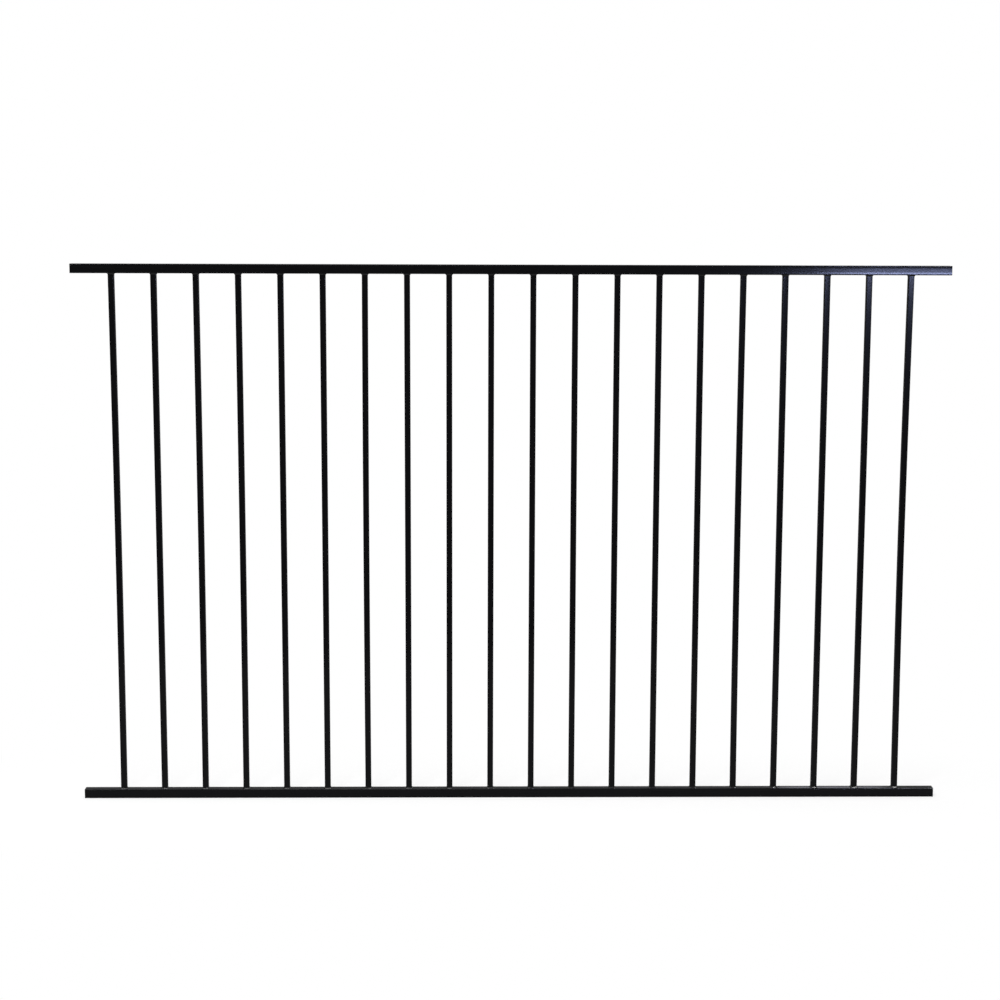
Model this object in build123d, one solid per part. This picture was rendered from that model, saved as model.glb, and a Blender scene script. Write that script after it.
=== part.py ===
from build123d import *
from math import atan2, degrees, sqrt
import os

# Welded steel fence panel: square-tube pickets stand between two square-tube rails,
# and a fillet bead runs all round each end of each picket.
# Millimetres, +Z up. X runs along the rails and Y through the panel's thickness.
# The origin is on the left end of the bottom rail: on the cut face, at its lower edge,
# midway through the panel's thickness.

# Driving dimensions
panel_length = 2362.2  # 93 in, for posts at 8 ft centres
panel_height = 1473.2  # 58 in, over both rails
rail_size = 25.4  # 1 in square tube
rail_wall = 1.5  # 16 gauge
rail_corner_radius = 2.3  # outside the tube's bends
picket_size = 15.875  # 5/8 in square tube
picket_wall = 1.2  # 18 gauge
picket_corner_radius = 1.8
picket_gap = 97.1  # clear between pickets, under the usual limit of 4 in
weld_leg = 2.4  # along the rail's face, out from the picket
weld_rise = 3.0  # along the picket, away from the rail
weld_toe = 0.3  # thickness where the bead runs out on the picket

# Sizes and places that follow from them
rail_bore = rail_size - 2 * rail_wall
rail_bore_radius = rail_corner_radius - rail_wall
picket_bore = picket_size - 2 * picket_wall
picket_length = panel_height - 2 * rail_size
picket_pitch = picket_size + picket_gap
picket_count = int(panel_length // picket_pitch)
first_picket_x = (panel_length - (picket_count - 1) * picket_pitch) / 2
picket_places = [first_picket_x + i * picket_pitch for i in range(picket_count)]
lower_joint_z = rail_size
upper_joint_z = panel_height - rail_size


def rounded_square(size, radius):
    return RectangleRounded(size, size, radius)


def rail(underside_z):
    """A square tube lying along +X from the left end face, open at both ends."""
    section = rounded_square(rail_size, rail_corner_radius)
    section -= rounded_square(rail_bore, rail_bore_radius)
    return Pos(0, 0, underside_z + rail_size / 2) * extrude(Plane.YZ * section, panel_length)


def picket(x):
    """A square tube cut to stand between the rails, which close it at both ends."""
    section = rounded_square(picket_size, picket_corner_radius)
    section -= Rectangle(picket_bore, picket_bore)
    return Pos(x, 0, lower_joint_z) * extrude(section, picket_length)


def weld_bead():
    """A fillet bead round a picket's foot: it stands on the XY plane and leans in along +Z."""
    foot = weld_leg + picket_corner_radius
    outline = Rectangle(picket_size + 2 * weld_leg, picket_size + 2 * weld_leg)
    outline = chamfer(outline.vertices(), foot * (2 - sqrt(2)))
    lean = degrees(atan2(weld_leg - weld_toe, weld_rise))
    bead = extrude(outline, weld_rise, taper=lean)
    return bead - extrude(rounded_square(picket_size, picket_corner_radius), weld_rise)


def weld_row(joint_z, turn):
    """One bead at each picket on a rail's face, turned to rise away from that rail."""
    bead = Rot(turn, 0, 0) * weld_bead()
    return Compound(children=[Pos(x, 0, joint_z) * bead for x in picket_places])


nodes = {
    "bottom_rail": rail(0),
    "top_rail": rail(upper_joint_z),
    "bottom_welds": weld_row(lower_joint_z, 0),
    "top_welds": weld_row(upper_joint_z, 180),
}
for number, x in enumerate(picket_places, start=1):
    nodes[f"picket_{number:02d}"] = picket(x)

os.makedirs("parts", exist_ok=True)
for name, shape in nodes.items():
    export_step(shape, f"parts/{name}.step")
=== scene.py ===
import bpy
import numpy as np
from math import pi, radians
from mathutils import Matrix, Vector


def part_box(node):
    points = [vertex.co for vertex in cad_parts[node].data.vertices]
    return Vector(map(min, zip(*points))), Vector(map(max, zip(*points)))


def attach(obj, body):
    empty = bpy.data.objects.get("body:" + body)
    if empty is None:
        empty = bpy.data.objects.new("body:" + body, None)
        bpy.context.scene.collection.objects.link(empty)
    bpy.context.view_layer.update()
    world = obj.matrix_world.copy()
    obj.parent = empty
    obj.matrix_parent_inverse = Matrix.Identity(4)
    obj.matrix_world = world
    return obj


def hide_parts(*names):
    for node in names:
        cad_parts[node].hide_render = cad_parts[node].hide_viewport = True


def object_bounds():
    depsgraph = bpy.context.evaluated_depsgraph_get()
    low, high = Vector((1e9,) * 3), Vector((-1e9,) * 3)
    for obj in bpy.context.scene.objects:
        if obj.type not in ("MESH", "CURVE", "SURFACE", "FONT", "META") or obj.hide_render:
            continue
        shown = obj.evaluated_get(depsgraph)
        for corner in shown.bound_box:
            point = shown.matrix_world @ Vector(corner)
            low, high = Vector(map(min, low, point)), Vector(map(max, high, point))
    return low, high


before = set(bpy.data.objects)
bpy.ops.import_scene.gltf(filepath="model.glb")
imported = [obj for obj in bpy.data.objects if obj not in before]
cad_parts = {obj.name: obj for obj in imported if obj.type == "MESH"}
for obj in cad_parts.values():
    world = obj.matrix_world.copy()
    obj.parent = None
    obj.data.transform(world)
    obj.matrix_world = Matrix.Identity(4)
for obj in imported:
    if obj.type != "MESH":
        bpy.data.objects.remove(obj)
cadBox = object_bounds()
panelLength = float(cadBox[1][0] - cadBox[0][0])   # the panel starts at X 0
mm = 0.001
print("frame loaded,", len(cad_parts), "nodes")


# sRGB hex to linear, alpha 1
def hexColour(text):
    part = np.array([int(text[i:i + 2], 16) for i in (1, 3, 5)]) / 255
    part = np.where(part <= 0.04045, part / 12.92, ((part + 0.055) / 1.055) ** 2.4)
    return (*part.tolist(), 1.0)


# one node: settings go to sockets of that name or to the node itself, links feed its sockets
def addNode(tree, kind, settings={}, links={}):
    node = tree.nodes.new("ShaderNode" + kind)
    for key, value in settings.items():
        if isinstance(key, int) or key in node.inputs:
            node.inputs[key].default_value = value
        else:
            setattr(node, key, value)
    for key, source in links.items():
        tree.links.new(source, node.inputs[key])
    return node


# a material with an empty node tree
def newMaterial(name):
    material = bpy.data.materials.new(name)
    material.use_nodes = True
    material.node_tree.nodes.clear()
    return material


# photograph's camera, fitted to the rail edges and picket lines of the picture
shot = {
    "place": (1.0651, -5.1297, 1.5851),
    "turn": -0.945,     # degrees about Z
    "tilt": 8.310,      # degrees below level
    "roll": 0.178,
    "lens": 68.42,
    "sensor": 36,
    "sight": 200,       # m, past the far edge of the floor
}
camera = bpy.data.objects.new("photoCamera", bpy.data.cameras.new("photoCamera"))
bpy.context.collection.objects.link(camera)
camera.data.sensor_width = shot["sensor"]
camera.data.lens = shot["lens"]
camera.data.clip_end = shot["sight"]
camera.matrix_world = (
    Matrix.Translation(shot["place"])
    @ Matrix.Rotation(radians(shot["turn"]), 4, "Z")
    @ Matrix.Rotation(radians(90 - shot["tilt"]), 4, "X")
    @ Matrix.Rotation(radians(shot["roll"]), 4, "Z")
)
bpy.context.scene.camera = camera
print("camera set")


# semi-gloss black polyester powder coat, sprayed and baked on steel tube: deep black with a soft sheen,
# faint orange peel and nibs, a little greyer along the bends for rubbed wear and partly as a painted
# highlight, a trace of dust on what faces up
coatLook = {
    "deep": "#010102",      # thick film
    "pale": "#040405",      # thin film
    "tone": 130.0,          # mm, drift from one to the other
    "nib": "#121216",       # grains caught in the film
    "nibSize": 1.6,         # mm
    "nibBand": (0.62, 0.74),    # noise at a grain's rim and at its top
    # rubbed wear along the bends, and partly a painted highlight on them
    "bend": "#101014",
    "dust": "#2b2b2d",
    "dustAmount": 0.6,
    "dustFrom": 0.5,        # upward share of the normal where dust begins to lie
    "haze": "#060608",      # fine scuffs, drawn out along the tube
    "scuff": 3.0,           # mm across
    "scuffStretch": 40,
    "scuffBand": (0.45, 0.75),
    "wave": 70.0,           # mm, slow unevenness of the rolled wall
    "waveHeight": 0.03,     # mm
    "peel": 2.5,            # mm; the real one is about 1.5, drawn coarser so that it shows
    "peelHeight": 0.005,    # mm
    "body": 0.4,            # roughness below the skin
    "gloss": 0.08,          # share of the skin that keeps its shine
    "glossIor": 1.5,
    "roughness": 0.13,
}
beadLook = {**coatLook, "peelHeight": 0.01, "gloss": 0.2, "roughness": 0.16}   # thick and wet in the corners


# film colour with nibs, bends lighter for rubbed wear and partly as a painted highlight, dust and scuffs
# laid over it in turn, under a skin whose normal is a slow wave plus the finer orange peel
def powderCoat(name, look, along=None):
    material = newMaterial(name)
    tree = material.node_tree
    place = addNode(tree, "TexCoord").outputs["Object"]

    tone = addNode(tree, "TexNoise", {"Scale": 1 / (look["tone"] * mm), "Detail": 3.0}, {"Vector": place})
    film = addNode(
        tree, "Mix",
        {"data_type": "RGBA", 6: hexColour(look["deep"]), 7: hexColour(look["pale"])},
        {0: tone.outputs["Fac"]},
    )

    grit = addNode(tree, "TexNoise", {"Scale": 1 / (look["nibSize"] * mm), "Detail": 1.0}, {"Vector": place})
    nibs = addNode(
        tree, "MapRange",
        {"From Min": look["nibBand"][0], "From Max": look["nibBand"][1]},
        {"Value": grit.outputs["Fac"]},
    )

    # bends lighter in colour: partly rubbed wear, partly a painted highlight
    bendMark = addNode(tree, "Attribute", {"attribute_name": "bend"})
    bendWearAndHighlight = addNode(
        tree, "Math",
        {"operation": "MULTIPLY"},
        {0: bendMark.outputs["Fac"], 1: tone.outputs["Fac"]},
    )

    facing = addNode(tree, "SeparateXYZ", {}, {0: addNode(tree, "NewGeometry").outputs["Normal"]})
    settled = addNode(
        tree, "MapRange",
        {"From Min": look["dustFrom"], "From Max": 1.0, "To Max": 2 * look["dustAmount"]},
        {"Value": facing.outputs["Z"]},
    )
    dusted = addNode(
        tree, "Math",
        {"operation": "MULTIPLY"},
        {0: settled.outputs[0], 1: tone.outputs["Fac"]},
    )

    stretch = [1.0, 1.0, 1.0]
    if along is not None:
        stretch[along] = 1 / look["scuffStretch"]
    grain = addNode(tree, "Mapping", {"Scale": stretch}, {"Vector": place})
    scuff = addNode(
        tree, "TexNoise",
        {"Scale": 1 / (look["scuff"] * mm), "Detail": 2.0},
        {"Vector": grain.outputs[0]},
    )
    streaks = addNode(
        tree, "MapRange",
        {"From Min": look["scuffBand"][0], "From Max": look["scuffBand"][1]},
        {"Value": scuff.outputs["Fac"]},
    )

    colour = film.outputs[2]
    for mask, tint in ((nibs, "nib"), (bendWearAndHighlight, "bend"), (dusted, "dust"), (streaks, "haze")):
        layer = addNode(
            tree, "Mix",
            {"data_type": "RGBA", 7: hexColour(look[tint])},
            {0: mask.outputs[0], 6: colour},
        )
        colour = layer.outputs[2]

    wave = addNode(tree, "TexNoise", {"Scale": 1 / (look["wave"] * mm), "Detail": 1.0}, {"Vector": place})
    slow = addNode(tree, "Bump", {"Distance": look["waveHeight"] * mm}, {"Height": wave.outputs["Fac"]})
    peel = addNode(
        tree, "TexNoise",
        {"Scale": 1 / (look["peel"] * mm), "Detail": 2.0, "Roughness": 0.4},
        {"Vector": place},
    )
    skin = addNode(
        tree, "Bump",
        {"Distance": look["peelHeight"] * mm},
        {"Height": peel.outputs["Fac"], "Normal": slow.outputs[0]},
    )

    shader = addNode(
        tree, "BsdfPrincipled",
        {
            "Roughness": look["body"],
            "Specular IOR Level": 0.0,
            "Coat Weight": look["gloss"],
            "Coat IOR": look["glossIor"],
            "Coat Roughness": look["roughness"],
        },
        {"Base Color": colour, "Normal": skin.outputs[0], "Coat Normal": skin.outputs[0]},
    )
    addNode(tree, "OutputMaterial", {}, {"Surface": shader.outputs[0]})
    return material


railCoat = powderCoat("blackPowderCoatRail", coatLook, 0)
picketCoat = powderCoat("blackPowderCoatPicket", coatLook, 2)
weldCoat = powderCoat("blackPowderCoatWeld", beadLook)
print("coats made")


# zinc-coated inside of a rail: dull grey spangle, black overspray fading in from the mouth
boreLook = {
    "zinc": "#a3a7aa",
    "dull": "#74787b",
    "spangle": 7.0,         # mm, one crystal
    "metal": 0.4,           # the rest is grey bloom
    "roughness": 0.5,
    "spray": "#0c0c0e",
    "sprayReach": 14.0,     # mm in from the mouth where the spray starts
    "sprayFull": 8.0,       # mm out from the mouth where it would be full
    "ragged": 30.0,         # mm that specks carry it further in
    "speck": 3.0,           # mm
}


def zincBore(length):
    material = newMaterial("zincBore")
    tree = material.node_tree
    place = addNode(tree, "TexCoord").outputs["Object"]
    flake = addNode(tree, "TexVoronoi", {"Scale": 1 / (boreLook["spangle"] * mm)}, {"Vector": place})
    shade = addNode(tree, "SeparateColor", {}, {0: flake.outputs["Color"]})
    zinc = addNode(
        tree, "Mix",
        {"data_type": "RGBA", 6: hexColour(boreLook["dull"]), 7: hexColour(boreLook["zinc"])},
        {0: shade.outputs[0]},
    )

    axis = addNode(tree, "SeparateXYZ", {}, {0: place})
    fromMiddle = addNode(tree, "Math", {"operation": "SUBTRACT", 1: length / 2}, {0: axis.outputs["X"]})
    outward = addNode(tree, "Math", {"operation": "ABSOLUTE"}, {0: fromMiddle.outputs[0]})
    speck = addNode(
        tree, "TexNoise",
        {"Scale": 1 / (boreLook["speck"] * mm), "Detail": 3.0},
        {"Vector": place},
    )
    ragged = addNode(
        tree, "Math",
        {"operation": "MULTIPLY_ADD", 1: boreLook["ragged"] * mm},
        {0: speck.outputs["Fac"], 2: outward.outputs[0]},
    )
    sprayed = addNode(
        tree, "MapRange",
        {
            "From Min": length / 2 - boreLook["sprayReach"] * mm,
            "From Max": length / 2 + boreLook["sprayFull"] * mm,
        },
        {"Value": ragged.outputs[0]},
    )
    colour = addNode(
        tree, "Mix",
        {"data_type": "RGBA", 7: hexColour(boreLook["spray"])},
        {0: sprayed.outputs[0], 6: zinc.outputs[2]},
    )
    bare = addNode(
        tree, "Math",
        {"operation": "MULTIPLY_ADD", 1: -boreLook["metal"], 2: boreLook["metal"]},
        {0: sprayed.outputs[0]},
    )
    shader = addNode(
        tree, "BsdfPrincipled",
        {"Roughness": boreLook["roughness"]},
        {"Base Color": colour.outputs[2], "Metallic": bare.outputs[0]},
    )
    addNode(tree, "OutputMaterial", {}, {"Surface": shader.outputs[0]})
    return material


# rounded square as tables: a ring is (half - corner) * core + corner * bend, so core walks the sharp
# square between corner centres and bend is the outward unit normal; onBend is 1 round a bend, and
# across runs from -1 to 1 over each flat wall
def squareTables(arcSteps, flatStops):
    turn = np.linspace(0, pi / 2, arcSteps + 1)[1:-1]
    flats, arcs = len(flatStops), len(turn)
    core = np.ones((flats + arcs, 2))
    core[:flats, 1] = flatStops
    bend = np.zeros((flats + arcs, 2))
    bend[:flats, 0] = 1
    bend[flats:] = np.stack([np.cos(turn), np.sin(turn)], 1)
    quarter = np.arange(4) * pi / 2
    cos, sin = np.cos(quarter), np.sin(quarter)
    spin = np.stack([np.stack([cos, -sin], 1), np.stack([sin, cos], 1)], 1)
    onBend = np.r_[np.zeros(flats), np.ones(arcs)]
    onBend[[0, flats - 1]] = 0.5
    across = np.r_[flatStops, np.ones(arcs)]
    return (
        np.einsum("kij,pj->kpi", spin, core).reshape(-1, 2),
        np.einsum("kij,pj->kpi", spin, bend).reshape(-1, 2),
        np.tile(onBend, 4),
        np.tile(across, 4),
    )


# quads of an m by n grid that closes on itself both ways
def ringQuads(m, n, flip=False):
    i, j = np.meshgrid(np.arange(m), np.arange(n), indexing="ij")
    a, b = i * n + j, ((i + 1) % m) * n + j
    c, d = ((i + 1) % m) * n + (j + 1) % n, i * n + (j + 1) % n
    quads = np.stack([a, b, c, d] if flip else [a, d, c, b], -1)
    return quads.reshape(-1, 4)


# a smooth mesh from arrays of points and quads, with a material slot per quad and a bend mark per point
def addPiece(name, points, quads, materials, slots=None, bend=None):
    mesh = bpy.data.meshes.new(name)
    mesh.vertices.add(len(points))
    mesh.vertices.foreach_set("co", np.ascontiguousarray(points, dtype=np.float32).ravel())
    mesh.loops.add(quads.size)
    mesh.loops.foreach_set("vertex_index", np.ascontiguousarray(quads, dtype=np.int32).ravel())
    mesh.polygons.add(len(quads))
    mesh.polygons.foreach_set("loop_start", np.arange(0, quads.size, 4, dtype=np.int32))
    mesh.polygons.foreach_set("use_smooth", np.ones(len(quads), dtype=bool))
    for material in materials:
        mesh.materials.append(material)
    if slots is not None:
        mesh.polygons.foreach_set("material_index", np.ascontiguousarray(slots, dtype=np.int32))
    if bend is not None:
        mark = mesh.attributes.new("bend", "FLOAT", "POINT")
        mark.data.foreach_set("value", np.ascontiguousarray(bend, dtype=np.float32))
    mesh.update(calc_edges=True)
    mesh.validate()
    piece = bpy.data.objects.new(name, mesh)
    bpy.context.collection.objects.link(piece)
    return piece


# a piece rides on the panel and stands for one node
def standFor(piece, node):
    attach(piece, "root")
    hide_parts(node)


# square tube as one closed skin: out along the outside, round the far cut edge, back along the
# bore and round the near one; a station is (distance along, depth below the outer face)
def squareTube(tube, length):
    edge, wall = tube["edge"], tube["wall"]
    turn = np.linspace(0, pi / 2, tube["edgeSteps"] + 1)
    spans = np.linspace(0, length, tube["spans"] + 1)[1:-1]
    inset = edge + tube["endBand"]
    out = np.r_[edge, inset, spans, length - inset, length - edge]
    outside = np.stack([out, np.zeros(len(out))], 1)
    lip = np.stack([edge * np.sin(turn), edge * (1 - np.cos(turn))], 1)[1:]
    mouth = np.stack([edge * np.cos(turn), wall - edge + edge * np.sin(turn)], 1)
    farEnd = np.concatenate([lip, mouth]) + [length - edge, 0]
    bore = np.stack([out[::-1][1:-1], np.full(len(out) - 2, wall)], 1)
    nearEnd = farEnd[::-1] * [-1, 1] + [length, 0]
    stations = np.concatenate([outside, farEnd, bore, nearEnd])

    core, bend, onBend, across = squareTables(tube["arcSteps"], tube["flatStops"])
    depth = stations[:, 1]
    halfSize = tube["size"] / 2 - depth
    corner = np.maximum(tube["corner"] - depth, tube["boreCorner"])
    ring = (halfSize - corner)[:, None, None] * core + corner[:, None, None] * bend
    ring -= tube["dish"] * (1 - across ** 4)[:, None] * bend   # rolled walls sink a little between the bends
    if tube["seam"]:   # raised line of the tube's own weld, left inside on the lower wall
        aside = across * tube["size"] / 2
        ridge = tube["seam"] * np.exp(-(aside / tube["seamWidth"]) ** 2) * np.isclose(bend[:, 1], -1)
        ring[:, :, 1] += np.clip(2 * depth / wall - 1, 0, 1)[:, None] * ridge

    atBore = np.isclose(depth, wall)
    slots = np.repeat((atBore & np.roll(atBore, -1)).astype(int), len(core))
    bendMark = np.tile(onBend, len(stations)) * np.repeat(depth < edge, len(core))
    return stations[:, 0], ring, slots, bendMark


# a tube laid on its node: stations along one axis, rings across it about the node's middle,
# and a bow in X that follows half a sine wave, most at mid-length
def tubePiece(node, axis, tube, materials, bow=0):
    low, high = (np.array(corner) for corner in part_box(node))
    length = high[axis] - low[axis]
    along, ring, slots, bend = squareTube(tube, length)
    sides = [(axis + 1) % 3, (axis + 2) % 3]
    points = np.empty(ring.shape[:2] + (3,))
    points[..., axis] = low[axis] + along[:, None]
    points[..., sides] = (low + high)[sides] / 2 + ring
    points[..., 0] += bow * np.sin(pi * along / length)[:, None]
    quads = ringQuads(*ring.shape[:2])
    if len(materials) == 1:
        slots = None
    piece = addPiece(node + "_tube", points.reshape(-1, 3), quads, materials, slots, bend)
    standFor(piece, node)


# rails
railStops = np.array([0.4, 0.55, 0.7, 0.8, 0.9, 0.95, 1.0])
rail = {
    "size": 25.4 * mm,
    "wall": 1.5 * mm,
    "corner": 2.3 * mm,
    "boreCorner": 0.3 * mm,     # at least
    "edge": 0.35 * mm,          # softened cut edge
    "endBand": 1 * mm,          # keeps the smooth shading of the edge off the wall
    "edgeSteps": 4,
    "arcSteps": 8,
    "flatStops": np.r_[-railStops[::-1], np.linspace(-0.2, 0.2, 11), railStops],   # close over the seam
    "spans": 24,
    "dish": 0.15 * mm,
    "seam": 0.5 * mm,
    "seamWidth": 0.8 * mm,
}
railBore = zincBore(panelLength)
for node in ("bottom_rail", "top_rail"):
    tubePiece(node, 0, rail, [railCoat, railBore])
print("rails made")


# pickets, with one coat for the whole skin: the rails close their bores
picket = {
    "size": 15.875 * mm,
    "wall": 1.2 * mm,
    "corner": 1.8 * mm,
    "boreCorner": 0.3 * mm,
    "edge": 0.2 * mm,
    "endBand": 1 * mm,
    "edgeSteps": 4,
    "arcSteps": 8,
    "flatStops": np.array([-1, -0.94, -0.6, -0.2, 0.2, 0.6, 0.94, 1]),
    "spans": 16,
    "dish": 0.05 * mm,
    "seam": 0,
    "bow": {   # mm, pulled aside by the weld heat
        "picket_01": 1.4, "picket_03": 1.0, "picket_04": 0.8,
        "picket_07": -1.0, "picket_16": -1.8, "picket_20": -3.2,
    },
}
picketNodes = sorted(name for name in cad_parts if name.startswith("picket_"))
for node in picketNodes:
    tubePiece(node, 2, picket, [picketCoat], picket["bow"].get(node, 0) * mm)
print(len(picketNodes), "pickets made")


# weld beads
weld = {
    "leg": 2.4 * mm,
    "rise": 3.0 * mm,
    "bulge": 1.85,      # 2 is a flat fillet, 1 a round one
    "sink": 0.25 * mm,  # into the picket and the rail
    "across": 9,
    "arcSteps": 6,
    "flatSteps": 34,
    "ripples": 30,
    "rippleHeight": 0.07 * mm,
    "rippleMean": 0.6,  # about what a ripple comes to on average, taken off
    "trail": 1.6,       # how far a ripple hangs back in the middle, as a phase
    "drift": 0.10,
    "lap": 0.35 * mm,
    "lapSpread": 0.16,  # as an angle round the picket
    "seed": 11,
}


# a fillet carried round the picket: out = leg * cos^bulge and up = rise * sin^bulge across it, swollen by
# ripples one pitch apart that trail back in the middle, by two slow waves of drift and by a lap at the start
def weldRing(random):
    core, bend = squareTables(weld["arcSteps"], np.linspace(-1, 1, weld["flatSteps"]))[:2]
    half, corner = picket["size"] / 2, picket["corner"]
    outline = (half - corner) * core + corner * bend
    middle = outline + bend * weld["leg"] / 2
    step = np.linalg.norm(np.roll(middle, -1, 0) - middle, axis=1)
    run = 2 * pi * np.r_[0, np.cumsum(step)[:-1]] / step.sum()
    fan = np.linspace(0, pi / 2, weld["across"])[:, None]
    phase = random.uniform(0, 2 * pi, 4)
    waves = 0.6 * np.sin(2 * run + phase[0]) + 0.4 * np.sin(5 * run + phase[1])
    drift = 1 + weld["drift"] * waves
    trail = weld["trail"] * np.sin(2 * fan)
    ripple = np.sqrt(0.5 + 0.5 * np.cos(weld["ripples"] * run + trail + phase[2])) - weld["rippleMean"]
    away = np.angle(np.exp(1j * (run - phase[3])))
    lap = weld["lap"] * np.exp(-(away / weld["lapSpread"]) ** 2)
    swell = (weld["rippleHeight"] * ripple + lap) * np.sin(2 * fan)
    out = weld["leg"] * drift * np.cos(fan) ** weld["bulge"] + swell * np.cos(fan)
    up = weld["rise"] * drift * np.sin(fan) ** weld["bulge"] + swell * np.sin(fan)
    sunk = np.full((1, len(run)), -weld["sink"])
    out = np.concatenate([out, sunk, sunk, out[:1]])
    up = np.concatenate([up, up[-1:], sunk, sunk])
    plan = outline + out[..., None] * bend
    return np.concatenate([plan, up[..., None]], -1)


random = np.random.default_rng(weld["seed"])
picketMiddles = [np.mean(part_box(node), axis=0)[:2] for node in picketNodes]
for node, way in (("bottom_welds", 1), ("top_welds", -1)):
    low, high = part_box(node)
    joint = low[2] if way > 0 else high[2]
    points, quads = [], []
    for middle in picketMiddles:
        ring = weldRing(random)
        m, n = ring.shape[:2]
        ring[..., 2] = joint + way * ring[..., 2]
        ring[..., :2] += middle
        quads.append(ringQuads(m, n, flip=way < 0) + len(points) * m * n)
        points.append(ring.reshape(-1, 3))
    piece = addPiece(node + "_beads", np.concatenate(points), np.concatenate(quads), [weldCoat])
    standFor(piece, node)
    print(node, len(piece.data.polygons), "faces")


# 1 for a ray that shows things: from the camera, off gloss or through glass
def seenRay(tree):
    ray = addNode(tree, "LightPath").outputs
    shown = ray["Is Camera Ray"]
    for kind in ("Is Glossy Ray", "Is Transmission Ray"):
        shown = addNode(tree, "Math", {"operation": "MAXIMUM"}, {0: shown, 1: ray[kind]}).outputs[0]
    return shown


# matte white paper sweep: white to the eye, with a faint shadow near the panel that runs out to plain white
sweep = {
    "reach": 60.0,      # m
    "drop": 0.2 * mm,   # below the rail
    "paper": "#d8d8d8",
    "glow": 0.69,       # the part of the near white that takes no shadow
    "shade": 0.30,      # the part that does
    "near": 0.03,       # m from the panel
    "far": 0.5,
}


# shaded paper within reach of the panel, fading to plain white by the distance from the panel's line
def mattePaper():
    material = newMaterial("mattePaper")
    tree = material.node_tree
    half = panelLength / 2
    place = addNode(tree, "SeparateXYZ", {}, {0: addNode(tree, "TexCoord").outputs["Object"]})
    fromMiddle = addNode(tree, "Math", {"operation": "SUBTRACT", 1: half}, {0: place.outputs["X"]})
    outward = addNode(tree, "Math", {"operation": "ABSOLUTE"}, {0: fromMiddle.outputs[0]})
    beyond = addNode(tree, "Math", {"operation": "SUBTRACT", 1: half}, {0: outward.outputs[0]})
    pastEnd = addNode(tree, "Math", {"operation": "MAXIMUM", 1: 0.0}, {0: beyond.outputs[0]})
    offset = addNode(tree, "CombineXYZ", {}, {"X": pastEnd.outputs[0], "Y": place.outputs["Y"]})
    away = addNode(tree, "VectorMath", {"operation": "LENGTH"}, {0: offset.outputs[0]})
    fade = addNode(
        tree, "MapRange",
        {"interpolation_type": "SMOOTHSTEP", "From Min": sweep["near"], "From Max": sweep["far"]},
        {"Value": away.outputs["Value"]},
    )
    shaded = addNode(tree, "BsdfDiffuse", {"Color": (sweep["shade"],) * 3 + (1,)})
    glow = addNode(tree, "Emission", {"Strength": sweep["glow"]})
    close = addNode(tree, "AddShader", {}, {0: shaded.outputs[0], 1: glow.outputs[0]})
    white = addNode(tree, "Emission", {"Strength": 1.0})
    shown = addNode(tree, "MixShader", {}, {0: fade.outputs[0], 1: close.outputs[0], 2: white.outputs[0]})
    lit = addNode(tree, "BsdfDiffuse", {"Color": hexColour(sweep["paper"])})
    mixed = addNode(tree, "MixShader", {}, {0: seenRay(tree), 1: lit.outputs[0], 2: shown.outputs[0]})
    addNode(tree, "OutputMaterial", {}, {"Surface": mixed.outputs[0]})
    return material


corners = sweep["reach"] * np.array([[-1, -1], [1, -1], [1, 1], [-1, 1]])
floorLevel = np.full(4, cadBox[0][2] - sweep["drop"])
floor = addPiece("floor", np.c_[corners, floorLevel], np.array([[0, 1, 2, 3]]), [mattePaper()])
print("floor made")


# white surround to the eye, even fill for everything else
surround = {"fill": 0.7, "seen": 1.0}
world = bpy.data.worlds.new("studio")
bpy.context.scene.world = world
world.use_nodes = True
worldTree = world.node_tree
worldTree.nodes.clear()
fill = addNode(worldTree, "Background", {"Strength": surround["fill"], "Color": (1, 1, 1, 1)})
seen = addNode(worldTree, "Background", {"Strength": surround["seen"], "Color": (1, 1, 1, 1)})
sky = addNode(worldTree, "MixShader", {}, {0: seenRay(worldTree), 1: fill.outputs[0], 2: seen.outputs[0]})
addNode(worldTree, "OutputWorld", {}, {"Surface": sky.outputs[0]})
print("surround set")


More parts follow.
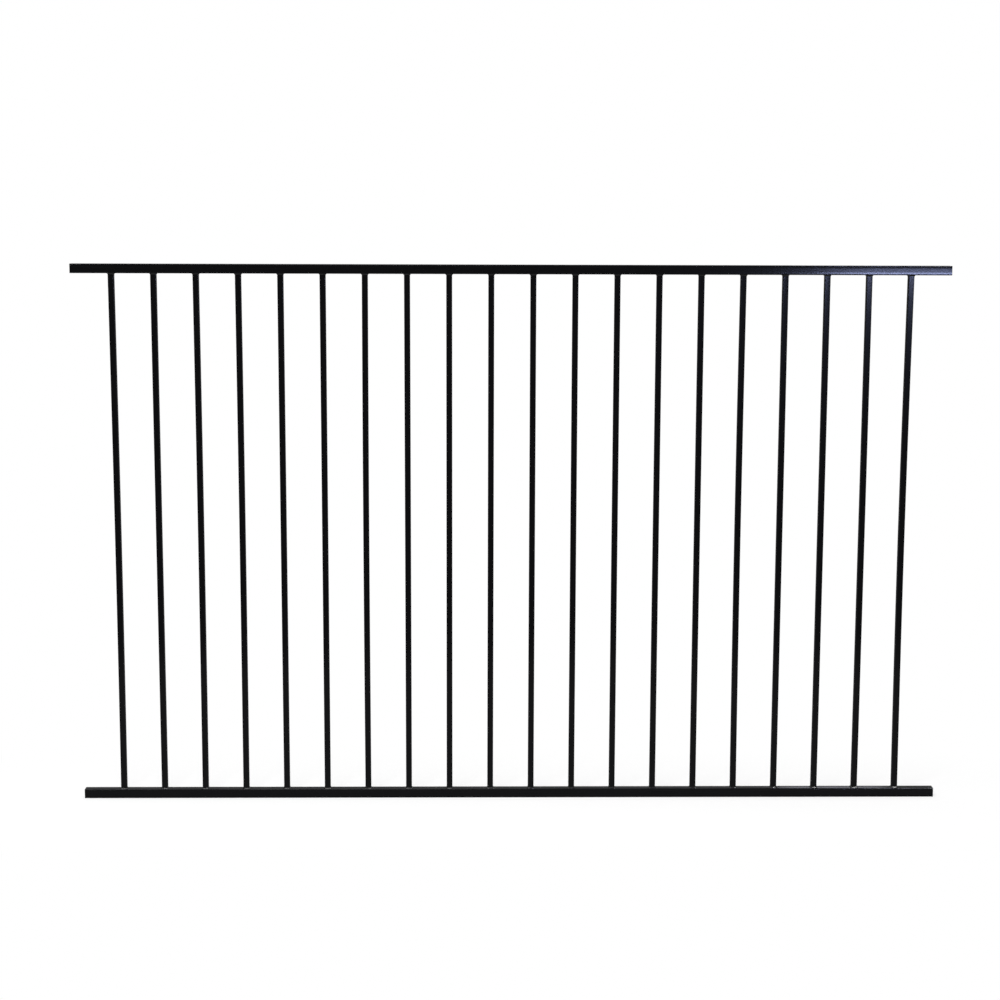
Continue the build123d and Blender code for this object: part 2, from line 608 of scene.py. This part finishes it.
# the key and the surround light a matte white to about 1; the other lamps show in the gloss alone
lamps = {
    "keySoft": {   # plain level and the floor's shadow
        "place": (0.4, -3.2, 4.2), "aim": (1.2, 0.0, 0.6), "size": (1.6, 1.6),
        "power": 160, "colour": "#ffffff", "glossOnly": False,
    },
    "topSoft": {   # lines on the rails' upper bends
        "place": (1.2, -0.8, 3.6), "aim": (1.2, 0.0, 0.0), "size": (4.2, 0.8),
        "power": 70, "colour": "#ffffff", "glossOnly": True,
    },
    "coolWindow": {   # bluish sheen on the right end of the top rail
        "place": (3.75, -6.0, 1.60), "aim": (2.2, 0.0, 1.4), "size": (1.1, 0.3),
        "power": 330, "colour": "#bcc8ff", "glossOnly": True,
    },
    "rightCorner": {   # glints on the lower beads at the right
        "place": (2.95, -1.5, 2.6), "aim": (2.25, 0.0, 0.0), "size": (0.4, 0.3),
        "power": 90, "colour": "#ffffff", "glossOnly": True,
    },
    "leftCorner": {   # and at the left
        "place": (-0.5, -1.5, 2.6), "aim": (0.11, 0.0, 0.0), "size": (0.3, 0.3),
        "power": 25, "colour": "#ffffff", "glossOnly": True,
    },
    "lowCard": {   # lighter lower quarter of the pickets
        "place": (1.2, -0.87, 0.002), "aim": (1.2, -0.87, 2.0), "size": (4.0, 1.7),
        "power": 24, "colour": "#ffffff", "glossOnly": True,
    },
    "backStrip": {   # faint sheen along the bottom rail's upper face
        "place": (1.2, 6.0, 1.9), "aim": (1.2, 0.0, 0.0), "size": (8.0, 0.8),
        "power": 19, "colour": "#ffffff", "glossOnly": True,
    },
    "backWindow": {   # and more of it at the right
        "place": (3.25, 6.0, 1.5), "aim": (2.1, 0.0, 0.0), "size": (0.6, 0.8),
        "power": 14, "colour": "#f0f0ff", "glossOnly": True,
    },
}
cornerCard = {   # wide, off each corner: soft sheen on the rails' upper faces from the sides
    "aim": (1.2, 0.0, 0.75), "size": (3.0, 1.8),
    "power": 130, "colour": "#ffffff", "glossOnly": True,
}
for side, x in (("Left", -2.4), ("Right", 4.8)):
    for face, y in (("Front", -3.6), ("Back", 3.6)):
        lamps["card" + side + face] = {**cornerCard, "place": (x, y, 3.0)}
for name, lamp in lamps.items():
    light = bpy.data.lights.new(name, "AREA")
    light.shape = "RECTANGLE"
    light.size, light.size_y = lamp["size"]
    light.energy = lamp["power"]
    light.color = hexColour(lamp["colour"])[:3]
    holder = bpy.data.objects.new(name, light)
    bpy.context.collection.objects.link(holder)
    way = Vector(lamp["aim"]) - Vector(lamp["place"])
    turn = way.to_track_quat("-Z", "Y").to_matrix().to_4x4()
    holder.matrix_world = Matrix.Translation(lamp["place"]) @ turn
    holder.visible_camera = False
    holder.visible_diffuse = not lamp["glossOnly"]
print("lamps set")

bpy.context.scene.view_settings.view_transform = "Standard"
